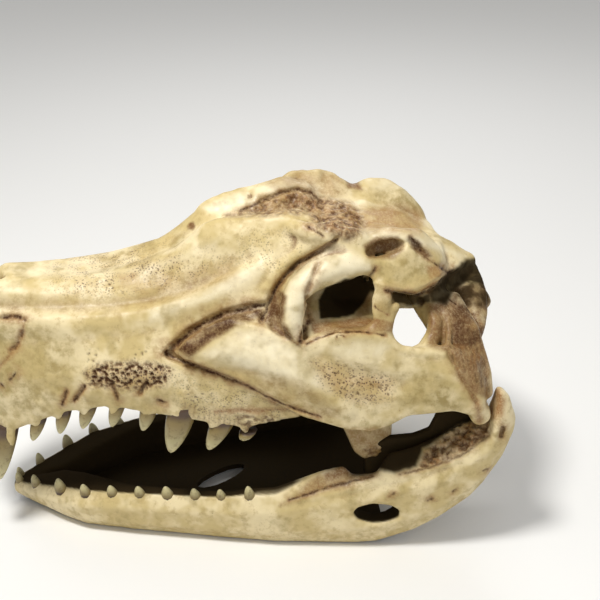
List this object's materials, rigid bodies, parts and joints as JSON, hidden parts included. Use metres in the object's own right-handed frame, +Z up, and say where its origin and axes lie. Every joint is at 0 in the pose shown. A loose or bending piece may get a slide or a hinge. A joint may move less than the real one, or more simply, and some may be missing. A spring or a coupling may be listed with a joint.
{
  "type": "crocodile skull display replica",
  "caption": "Life-size painted resin replica of a crocodile skull, jaws open, lying flat on its lower jaw; the bones are separate nodes and the teeth are joined to the jaws.",
  "frame": {"origin": "centre of the bounding box in X and Y, at the floor the lower jaw lies on", "axes": "+X from the snout tip to the back of the head, +Y the animal's right side, +Z up"},
  "size_m": [0.495, 0.238, 0.317],
  "materials": {
    "bone": "ivory paint with a brown wash, semi-gloss on the high parts",
    "throat": "dark olive-brown wash"
  },
  "bodies": {
    "root": {"angular_left": "bone", "angular_right": "bone", "articular_left": "bone", "articular_right": "bone", "braincase_left": "bone", "braincase_right": "bone", "dentary_left": "bone", "dentary_right": "bone", "exoccipital_left": "bone", "exoccipital_right": "bone", "frontal_left": "bone", "frontal_right": "bone", "jugal_left": "bone", "jugal_right": "bone", "lacrimal_left": "bone", "lacrimal_right": "bone", "maxilla_left": "bone", "maxilla_right": "bone", "nasal_left": "bone", "nasal_right": "bone", "palatine_left": "bone", "palatine_right": "bone", "palpebral_left": "bone", "palpebral_right": "bone", "parietal_left": "bone", "parietal_right": "bone", "postorbital_left": "bone", "postorbital_right": "bone", "prefrontal_left": "bone", "prefrontal_right": "bone", "premaxilla_left": "bone", "premaxilla_right": "bone", "pterygoid": "bone", "quadrate_left": "bone", "quadrate_right": "bone", "quadratojugal_left": "bone", "quadratojugal_right": "bone", "squamosal_left": "bone", "squamosal_right": "bone", "surangular_left": "bone", "surangular_right": "bone", "throat": "throat"}
  },
  "joints": []
}
